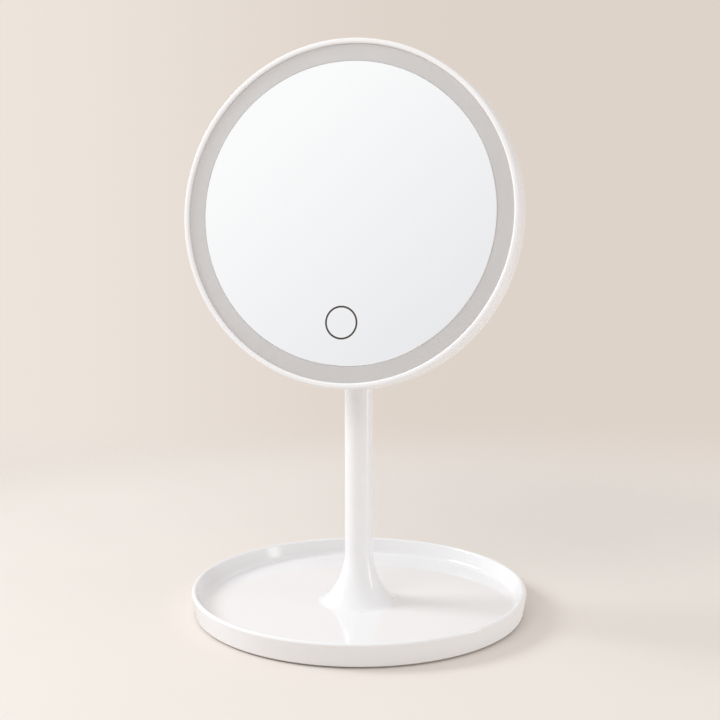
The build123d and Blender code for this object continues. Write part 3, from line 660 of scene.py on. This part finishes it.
def moulding(slot, base, roughness, mottle=0.03, flow=38.0, grain=1400.0, grain_depth=0.00002, coat=0.0):
    """Moulded or rubbery finish: faint flow marks in the colour, uneven gloss and a fine grain."""
    material, tree, shader = new_material(slot)
    if tree is None:
        return material
    place = place_of(tree)
    clouds = noise_of(tree, place, flow, detail=4.0)
    wander = roughness * GLOSS_WANDER
    feed(tree, shader, {
        "Base Color": mottled(tree, clouds, tone(base, 1 - mottle, mottle / 3), tone(base)),
        "Roughness": spread(tree, clouds, roughness - wander, roughness + wander),
        "Coat Weight": coat,
        "Coat Roughness": COAT_ROUGHNESS,
    })
    bump(tree, shader, noise_of(tree, place, grain), GRAIN_STRENGTH, grain_depth)
    return material


def metal(slot, base, roughness, stretch=(1.0, 1.0, 14.0), grain=260.0, grain_depth=0.00003):
    """Bare or plated metal with drawn lines and uneven gloss."""
    material, tree, shader = new_material(slot)
    if tree is None:
        return material
    lines = noise_of(tree, place_of(tree, stretch), grain, detail=4.0, rough=0.6)
    stains = noise_of(tree, place_of(tree), 90.0, detail=3.0)
    feed(tree, shader, {
        "Base Color": mottled(tree, stains, tone(base, 0.86), tone(base)),
        "Roughness": spread(tree, lines, roughness * 0.7, roughness * 1.3),
        "Metallic": 1.0,
    })
    bump(tree, shader, lines, 0.3, grain_depth)
    return material


def glossy_white():
    """Polished white moulding of the tray, stem and casing."""
    return moulding(
        "white_gloss", settings().finish.white, 0.07, mottle=0.015, flow=22.0, grain=260.0,
        grain_depth=0.0000015, coat=0.3,
    )


def painted_white():
    """White paint on the hinge castings, with a light orange peel."""
    return moulding(
        "white_paint", settings().finish.paint, 0.34, mottle=0.025, grain=900.0, grain_depth=0.00004
    )


def opal_plastic():
    """Opal light ring: soft clouds in the body, and painted shade, a little darker and warmer, towards its outer
    edge under the bezel.
    """
    material, tree, shader = new_material("opal_diffuser")
    if tree is None:
        return material
    base = settings().finish.opal
    raw = make(tree, "ShaderNodeTexCoord").outputs["Object"]
    offset = make(
        tree, "ShaderNodeVectorMath", {0: raw, 1: HEAD.translation}, operation="SUBTRACT"
    ).outputs[0]
    inner, outer = half_width("mirror_glass"), half_width("diffuser_ring")
    # Painted shade: the colour turns darker and warmer from the glass out to the ring's outer edge, standing in
    # for the bezel's shadow.
    edge = spread(tree, reach_of(tree, offset), 0.0, 1.0, start=inner, end=outer)
    clouds = noise_of(tree, raw, 30.0, detail=3.0)
    body = mottled(tree, clouds, tone(base, 0.97), tone(base, 1.02))
    feed(tree, shader, {
        "Base Color": blend_colours(tree, edge, body, tone(base, 0.98, 0.01)),
        "Roughness": spread(tree, clouds, 0.38, 0.46),
        "Subsurface Weight": 0.5,
        "Subsurface Radius": (0.0012, 0.0012, 0.0012),
        "Subsurface Scale": 1.0,
    })
    return material


def silvered_glass():
    """Front silvered mirror with a trace of polishing haze."""
    material, tree, shader = new_material("silvered_glass")
    if tree is None:
        return material
    base = settings().finish.silver
    haze = noise_of(tree, place_of(tree), 26.0, detail=5.0, rough=0.6)
    feed(tree, shader, {
        "Base Color": mottled(tree, haze, tone(base, 0.995), tone(base)),
        "Roughness": spread(tree, haze, 0.008, 0.02),
        "Metallic": 1.0,
    })
    return material


def clear_moulding():
    """Frosted end of the clear light pipe."""
    material, tree, shader = new_material("clear_pipe")
    if tree is None:
        return material
    base = SLOT_COLOURS["clear_pipe"]
    streaks = noise_of(tree, place_of(tree), 400.0, detail=3.0)
    feed(tree, shader, {
        "Base Color": mottled(tree, streaks, tone(base, 0.95), tone(base, 1.1)),
        "Roughness": spread(tree, streaks, 0.12, 0.22),
        "Transmission Weight": 0.3,
    })
    return material


def circuit_board():
    """Green board with lighter copper tracks under its mask."""
    material, tree, shader = new_material("green_board")
    if tree is None:
        return material
    base = SLOT_COLOURS["green_board"]
    place = place_of(tree)
    tracks = make(
        tree, "ShaderNodeTexBrick",
        {
            "Vector": place, "Scale": 210.0, "Mortar Size": 0.06,
            "Color1": tone(base), "Color2": tone(base, 0.9), "Mortar": tone(base, 1.7),
        },
    )
    feed(tree, shader, {
        "Base Color": tracks.outputs["Color"],
        "Roughness": spread(tree, noise_of(tree, place, 300.0), 0.3, 0.45),
    })
    bump(tree, shader, tracks.outputs["Fac"], 0.3, 0.00003)
    return material


def pouch_foil():
    """Crinkled laminated foil of the battery, with painted shade along its creases."""
    material, tree, shader = new_material("pouch_foil")
    if tree is None:
        return material
    base = SLOT_COLOURS["pouch_foil"]
    place = place_of(tree)
    creases = make(
        tree, "ShaderNodeTexVoronoi", {"Vector": place, "Scale": 130.0}, feature="DISTANCE_TO_EDGE"
    ).outputs["Distance"]
    crease_relief_and_shade = spread(tree, creases, 0.0, 1.0, start=0.0, end=0.25)
    feed(tree, shader, {
        # Painted shade: the foil's colour darkens along the creases; the same pattern also makes their relief.
        "Base Color": blend_colours(tree, crease_relief_and_shade, tone(base, 0.9), tone(base)),
        "Roughness": spread(tree, noise_of(tree, place, 80.0), 0.28, 0.42),
        "Metallic": 0.85,
    })
    bump(tree, shader, crease_relief_and_shade, 0.35, 0.0002)
    return material


def plain_moulding(slot, roughness, **grain):
    """Plain moulded finish in the colour of its slot."""
    return moulding(slot, SLOT_COLOURS[slot], roughness, **grain)


def plated_steel():
    """Zinc plated steel of the weight and fasteners."""
    return metal("steel", SLOT_COLOURS["steel"], 0.32)


# Operators, one for each piece or group of like pieces

class TABLEMIRROR_OT_tray(bpy.types.Operator):
    """Turn the tray with its rounded rim and the flare that carries the stem"""

    bl_idname = "table_mirror.tray"
    bl_label = "Tray"

    def execute(self, context):
        sizes = settings().tray
        low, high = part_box("tray")
        radius = high.x
        bottom = radius - sizes.wall_draft
        rim_round = sizes.rim_thickness / 2
        rim_middle = sizes.rim_height - rim_round
        rim_inside = radius - sizes.rim_thickness
        skirt = bottom - sizes.skirt_thickness
        underside = sizes.floor_height - sizes.floor_thickness
        stem = half_width("stem_sleeve")
        core = half_width("stem_core") + settings().stand.sleeve_slip
        floor_pull = sizes.floor_pull * (sizes.flare_foot - stem)
        stem_pull = sizes.stem_pull * (high.z - sizes.floor_height)
        flare = interpolate_bezier(
            (sizes.flare_foot, sizes.floor_height), (sizes.flare_foot - floor_pull, sizes.floor_height),
            (stem, high.z - stem_pull), (stem, high.z), FLARE_POINTS,
        )
        outline = [(skirt, low.z, 0.0), (bottom, low.z, sizes.bottom_edge)]
        outline += arc(radius - rim_round, rim_middle, rim_round, 0, 180)
        outline.append((rim_inside - sizes.inner_lean, sizes.floor_height, sizes.floor_corner))
        outline += [(point[0], point[1], 0.0) for point in flare]
        outline += [
            (core, high.z, 0.0), (core, sizes.web_top, 0.0), (sizes.bolt_hole, sizes.web_top, 0.0),
            (sizes.bolt_hole, sizes.web_bottom, 0.0), (sizes.bolt_pocket, sizes.web_bottom, 0.0),
            (sizes.bolt_pocket, underside, 0.0), (skirt - sizes.cavity_width, underside, 0.0),
            (skirt, underside + sizes.cavity_rise, 0.0),
        ]
        fit(turned("tray_moulding", outline, glossy_white()), "stand", "white_gloss", "tray")
        return {"FINISHED"}


class TABLEMIRROR_OT_foot(bpy.types.Operator):
    """Turn the rubber foot ring and finish the weight and its screws"""

    bl_idname = "table_mirror.foot"
    bl_label = "Foot ring and weight"

    def execute(self, context):
        sizes = settings().stand
        low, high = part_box("foot_ring")
        inner = high.x - sizes.foot_width
        outline = [
            (inner, low.z, sizes.foot_edge), (high.x, low.z, sizes.foot_edge),
            (high.x, high.z, 0.0), (inner, high.z, 0.0),
        ]
        rubber = moulding(
            "rubber_foot", settings().finish.rubber, 0.72, mottle=0.12, grain=2200.0, grain_depth=0.00008
        )
        fit(turned("foot_pad", outline, rubber, corner_steps=4), "stand", "rubber_foot", "foot_ring")
        dress(plated_steel(), "base_weight", "weight_screws", "stem_washer", "stem_bolt")
        return {"FINISHED"}


class TABLEMIRROR_OT_stem(bpy.types.Operator):
    """Turn the stem's sleeve and smooth the knuckle that carries the head"""

    bl_idname = "table_mirror.stem"
    bl_label = "Stem"

    def execute(self, context):
        low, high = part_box("stem_sleeve")
        bore = half_width("stem_core") + settings().stand.sleeve_slip
        outline = [(bore, low.z, 0.0), (high.x, low.z, 0.0), (high.x, high.z, 0.0), (bore, high.z, 0.0)]
        sleeve = turned("stem_tube", outline, glossy_white(), segments=96)
        fit(sleeve, "stand", "white_gloss", "stem_sleeve")
        knuckle = smooth_copy(
            "knuckle_casting", "stem_knuckle", painted_white(), settings().hinge.casting_edge
        )
        fit(knuckle, "stand", "white_paint", "stem_knuckle")
        dress(plated_steel(), "stem_core", "lock_screw")
        dress(metal("brass", SLOT_COLOURS["brass"], 0.28), "stem_insert")
        return {"FINISHED"}


class TABLEMIRROR_OT_hinge(bpy.types.Operator):
    """Smooth the hinge bracket, turn its two caps and finish the bolt"""

    bl_idname = "table_mirror.hinge"
    bl_label = "Hinge"

    def execute(self, context):
        sizes = settings().hinge
        bracket = smooth_copy("bracket_casting", "hinge_bracket", painted_white(), sizes.casting_edge)
        fit(bracket, "head", "white_paint", "hinge_bracket")
        end = half_width("hinge_caps")
        inside = sizes.cap_radius - sizes.cap_wall
        outline = [
            (0.0, end, 0.0), (sizes.cap_radius, end, sizes.cap_edge),
            (sizes.cap_radius, sizes.ear_outside, 0.0), (inside, sizes.ear_outside, 0.0),
            (inside, end - sizes.cap_top, 0.0), (0.0, end - sizes.cap_top, 0.0),
        ]
        for name, side in (("hinge_cap_right", 1), ("hinge_cap_left", -1)):
            turn = Euler((0.0, side * math.pi / 2, 0.0)).to_matrix().to_4x4()
            cap = turned(name, outline, glossy_white(), Matrix.Translation(PIVOT) @ turn, segments=72)
            fit(cap, "head", "white_gloss", "hinge_caps")
        dress(plated_steel(), "hinge_bolt", "hinge_nut", "hinge_spring_washer", "bracket_screws")
        dress(plain_moulding("nylon", 0.5), "friction_washers")
        return {"FINISHED"}


class TABLEMIRROR_OT_casing(bpy.types.Operator):
    """Turn the front bezel's bead and smooth the rear shell"""

    bl_idname = "table_mirror.casing"
    bl_label = "Head casing"

    def execute(self, context):
        sizes = settings().head
        radius = half_width("front_bezel")
        lip = radius - sizes.lip_width
        bore = radius - sizes.bezel_wall
        crest = -sizes.bead_rise
        seam = crest + sizes.bezel_depth
        outline = [
            (lip, 0.0, 0.0), (lip, crest, sizes.bead_inner_round),
            (radius - sizes.bezel_taper, crest, sizes.bead_outer_round), (radius, seam, sizes.seam_edge),
            (bore, seam, 0.0), (bore, 0.0, 0.0),
        ]
        bezel = turned("bezel_bead", outline, glossy_white(), HEAD, corner_steps=12)
        fit(bezel, "head", "white_gloss", "front_bezel")
        shell = smooth_copy("rear_casing", "rear_shell", glossy_white())
        round_off(shell, half_width("rear_shell"), sizes.rear_edge)
        fit(shell, "head", "white_gloss", "rear_shell")
        return {"FINISHED"}


class TABLEMIRROR_OT_light(bpy.types.Operator):
    """Turn the opal light ring and set the LEDs on their board"""

    bl_idname = "table_mirror.light"
    bl_label = "Light ring"

    def execute(self, context):
        sizes = settings().head
        outer = half_width("diffuser_ring")
        bore = half_width("mirror_glass") + sizes.glass_fit
        outline = [
            (bore, 0.0, sizes.light_ring_edge), (outer, 0.0, 0.0),
            (outer, sizes.light_ring_thickness, 0.0), (bore, sizes.light_ring_thickness, 0.0),
        ]
        ring = turned("opal_ring", outline, opal_plastic(), HEAD, corner_steps=6)
        fit(ring, "head", "opal_diffuser", "diffuser_ring")

        circle = half_width("leds") - sizes.led_width / 2
        place = Matrix.Translation(middle("leds") - HEAD.translation) @ HEAD
        ivory = plain_moulding("ivory_moulding", 0.4)
        phosphor = plain_moulding("led_lens", 0.3, mottle=0.06)
        for name, build, material, slot in (
            ("led_bodies", self.body, ivory, "ivory_moulding"),
            ("led_windows", self.window, phosphor, "led_lens"),
        ):
            mesh = bpy.data.meshes.new(name)
            work = bmesh.new()
            build(work, sizes)
            work.to_mesh(mesh)
            work.free()
            piece = grow(
                new_piece(name, mesh), shared_tree("Ring of copies", ring_tree),
                {"Count": sizes.led_count, "Radius": circle, "Material": material},
            )
            piece.data.transform(place)
            fit(piece, "head", slot, "leds")
        dress(plain_moulding("white_board", 0.4), "led_board")
        return {"FINISHED"}

    @staticmethod
    def body(work, sizes):
        """Bevelled body of one LED, its window side towards -Z."""
        bmesh.ops.create_cube(work, size=1.0)
        bmesh.ops.scale(work, verts=work.verts, vec=(sizes.led_width, sizes.led_length, sizes.led_height))
        bmesh.ops.bevel(
            work, geom=work.edges[:], offset=sizes.led_edge, segments=1, affect="EDGES", profile=0.5
        )

    @staticmethod
    def window(work, sizes):
        """Round phosphor window, just proud of the body."""
        bmesh.ops.create_cone(
            work, segments=16, cap_ends=True, radius1=sizes.led_lens * WINDOW_TAPER,
            radius2=sizes.led_lens, depth=sizes.led_edge,
        )
        bmesh.ops.translate(work, verts=work.verts, vec=(0.0, 0.0, -sizes.led_height / 2))


class TABLEMIRROR_OT_glass(bpy.types.Operator):
    """Silver the glass and print its touch mark"""

    bl_idname = "table_mirror.glass"
    bl_label = "Mirror glass"

    def execute(self, context):
        dress(silvered_glass(), "mirror_glass")
        dress(moulding("dark_print", settings().finish.mark, 0.45, mottle=0.15), "touch_mark")
        return {"FINISHED"}


class TABLEMIRROR_OT_socket(bpy.types.Operator):
    """Finish the charging socket and the charge light in the back"""

    bl_idname = "table_mirror.socket"
    bl_label = "Charging socket"

    def execute(self, context):
        shell = smooth_copy("socket_shell", "usb_shell", plated_steel())
        fit(shell, "head", "steel", "usb_shell")
        dress(plain_moulding("black_moulding", 0.45), "usb_tongue")
        dress(clear_moulding(), "light_pipe")
        return {"FINISHED"}


class TABLEMIRROR_OT_inside(bpy.types.Operator):
    """Finish the boards, battery, carrier and leads inside the head"""

    bl_idname = "table_mirror.inside"
    bl_label = "Inside of the head"

    def execute(self, context):
        dress(plain_moulding("white_matte", 0.55), "mirror_carrier")
        dress(plated_steel(), "carrier_screws", "board_screws")
        dress(plain_moulding("foam_tape", 0.85, mottle=0.2, grain=3000.0), "mirror_tape", "battery_tape")
        dress(circuit_board(), "main_board", "touch_board")
        dress(plain_moulding("black_moulding", 0.45), "board_components")
        dress(plain_moulding("ivory_moulding", 0.4), "board_connectors")
        dress(pouch_foil(), "battery")
        dress(plain_moulding("lead_jacket", 0.5), "battery_leads", "led_leads", "touch_leads")
        return {"FINISHED"}


class TABLEMIRROR_OT_stage(bpy.types.Operator):
    """Lay the pale floor, light it softly and set the camera"""

    bl_idname = "table_mirror.stage"
    bl_label = "Stage"

    def execute(self, context):
        stage = settings().stage
        self.floor(stage)
        self.surroundings(stage)
        powers = (stage.key_power, stage.front_power, stage.side_power, stage.strip_power)
        lamps = {
            name: self.lamp(name, power, *values) for (name, values), power in zip(LAMPS.items(), powers)
        }
        self.soften(lamps["strip_light"].data, stage.strip_fade)
        self.camera(stage)
        context.scene.view_settings.view_transform = "Standard"
        return {"FINISHED"}

    @staticmethod
    def floor(stage):
        """Pale floor whose far parts fade into the plain tone behind it."""
        mesh = bpy.data.meshes.new("floor")
        work = bmesh.new()
        bmesh.ops.create_circle(work, cap_ends=True, segments=FLOOR_SEGMENTS, radius=FLOOR_RADIUS)
        work.to_mesh(mesh)
        work.free()
        material, tree, shader = new_material("pale_floor")
        place = place_of(tree)
        clouds = noise_of(tree, place, 9.0, detail=5.0)
        feed(tree, shader, {
            "Base Color": mottled(tree, clouds, tone(stage.floor, 0.985), tone(stage.floor)),
            "Roughness": 0.6,
            "Specular IOR Level": 0.25,
        })
        watched = make(tree, "ShaderNodeLightPath").outputs["Is Camera Ray"]
        fade = math_node(tree, "MULTIPLY", ramp(tree, reach_of(tree, place), *FLOOR_FADE), watched)
        clear = make(tree, "ShaderNodeBsdfTransparent")
        mixed = make(
            tree, "ShaderNodeMixShader", {0: fade, 1: shader.outputs[0], 2: clear.outputs[0]}
        )
        tree.links.new(mixed.outputs[0], tree.nodes["Material Output"].inputs["Surface"])
        mesh.materials.append(material)
        floor = new_piece("floor", mesh)
        floor.visible_glossy = False

    @staticmethod
    def surroundings(stage):
        """Even light for the surfaces, a plain backdrop for the camera and a soft studio for gloss."""
        world = bpy.data.worlds.new("studio")
        bpy.context.scene.world = world
        world.use_nodes = True
        tree = world.node_tree
        way = make(tree, "ShaderNodeTexCoord").outputs["Generated"]
        height = make(tree, "ShaderNodeSeparateXYZ", {0: way}).outputs["Z"]
        ray = make(tree, "ShaderNodeLightPath").outputs

        key_way = Vector((-math.cos(stage.camera_azimuth), -math.sin(stage.camera_azimuth), 0.0))
        lit = ramp(tree, along(tree, way, key_way), *LIT_SIDE)
        backdrop = blend_colours(tree, lit, tone(stage.wall), tone(stage.lit_wall))
        plain = blend_colours(tree, ramp(tree, height, *HORIZON), tone(stage.floor), backdrop)

        shine = spread(tree, along(tree, way, GLOW_WAY), 0.0, 1.0, *GLOW_EDGE)
        front = blend_colours(tree, shine, tone(stage.haze), tone(stage.glow))
        ahead = ramp(tree, along(tree, way, FRONT_WAY), *FRONT_EDGE)
        above = ramp(tree, height, *ABOVE_EDGE)
        level = blend_colours(tree, math_node(tree, "MULTIPLY", ahead, above), plain, front)
        overhead = ramp(tree, height, *OVERHEAD_EDGE)
        mirrored = blend_colours(tree, overhead, level, tone(stage.glow))

        seen = blend_colours(tree, ray["Is Camera Ray"], mirrored, plain)
        direct = math_node(
            tree, "MAXIMUM", ray["Is Camera Ray"],
            math_node(tree, "MAXIMUM", ray["Is Glossy Ray"], ray["Is Transmission Ray"]),
        )
        even = make(tree, "ShaderNodeBackground", {"Color": EVEN_TINT, "Strength": stage.ambient})
        shown = make(tree, "ShaderNodeBackground", {"Color": seen, "Strength": 1.0})
        mixed = make(
            tree, "ShaderNodeMixShader", {0: direct, 1: even.outputs[0], 2: shown.outputs[0]}
        )
        tree.links.new(mixed.outputs[0], tree.nodes["World Output"].inputs["Surface"])

    @staticmethod
    def lamp(name, power, place, size, tint, glints):
        """Rectangular light on the middle of the object, unseen but for its glints where it has them."""
        light = bpy.data.lights.new(name, "AREA")
        light.shape = "RECTANGLE"
        light.size, light.size_y = size
        light.energy = power
        light.color = tint
        lamp = bpy.data.objects.new(name, light)
        lamp.visible_camera = False
        lamp.visible_glossy = glints
        bpy.context.scene.collection.objects.link(lamp)
        target = (CAD_BOX[0] + CAD_BOX[1]) / 2
        lamp.location = place
        lamp.rotation_euler = (target - lamp.location).to_track_quat("-Z", "Y").to_euler()
        return lamp

    @staticmethod
    def soften(light, fade):
        """Dims a rectangular light towards its edges, so that its reflections end softly."""
        light.use_nodes = True
        tree = light.node_tree
        spot = make(tree, "ShaderNodeNewGeometry").outputs["Parametric"]
        sides = make(tree, "ShaderNodeSeparateXYZ", {0: spot}).outputs
        ramps = []
        for side in (sides["X"], sides["Y"]):
            inwards = math_node(tree, "MINIMUM", side, math_node(tree, "SUBTRACT", 1.0, side))
            ramps.append(ramp(tree, inwards, 0.0, fade))
        feed(tree, tree.nodes["Emission"], {"Strength": math_node(tree, "MULTIPLY", *ramps)})

    @staticmethod
    def camera(stage):
        """Camera at the height, side and distance of the reference view."""
        camera = bpy.data.objects.new("camera", bpy.data.cameras.new("camera"))
        bpy.context.scene.collection.objects.link(camera)
        camera.data.sensor_width = SENSOR_WIDTH
        camera.data.lens = stage.lens
        camera.data.shift_x = stage.stem_shift
        camera.location = (
            stage.camera_distance * math.sin(stage.camera_azimuth),
            -stage.camera_distance * math.cos(stage.camera_azimuth),
            stage.camera_height,
        )
        camera.rotation_euler = (math.pi / 2 - stage.camera_pitch, 0.0, stage.camera_azimuth)
        bpy.context.scene.camera = camera


OPERATORS = (
    TABLEMIRROR_OT_tray, TABLEMIRROR_OT_foot, TABLEMIRROR_OT_stem, TABLEMIRROR_OT_hinge,
    TABLEMIRROR_OT_casing, TABLEMIRROR_OT_light, TABLEMIRROR_OT_glass, TABLEMIRROR_OT_socket,
    TABLEMIRROR_OT_inside, TABLEMIRROR_OT_stage,
)


class TABLEMIRROR_PT_pieces(bpy.types.Panel):
    """Buttons for the pieces of the table mirror"""

    bl_idname = "TABLEMIRROR_PT_pieces"
    bl_label = "Table mirror"
    bl_space_type = "VIEW_3D"
    bl_region_type = "UI"
    bl_category = "Table mirror"

    def draw(self, context):
        for operator in OPERATORS:
            self.layout.operator(operator.bl_idname)


CLASSES = (
    TraySizes, StandSizes, HeadSizes, HingeSizes, FinishColours, StageSettings, MirrorSettings,
    *OPERATORS, TABLEMIRROR_PT_pieces,
)


def register():
    """Registers the classes and the scene's settings."""
    for entry in CLASSES:
        bpy.utils.register_class(entry)
    bpy.types.Scene.table_mirror = bpy.props.PointerProperty(type=MirrorSettings)


def unregister():
    """Removes the settings and the classes."""
    del bpy.types.Scene.table_mirror
    for entry in reversed(CLASSES):
        bpy.utils.unregister_class(entry)


def main():
    """Builds every piece and the stage."""
    register()
    for operator in OPERATORS:
        group, name = operator.bl_idname.split(".")
        getattr(getattr(bpy.ops, group), name)()


if __name__ == "__main__":
    main()
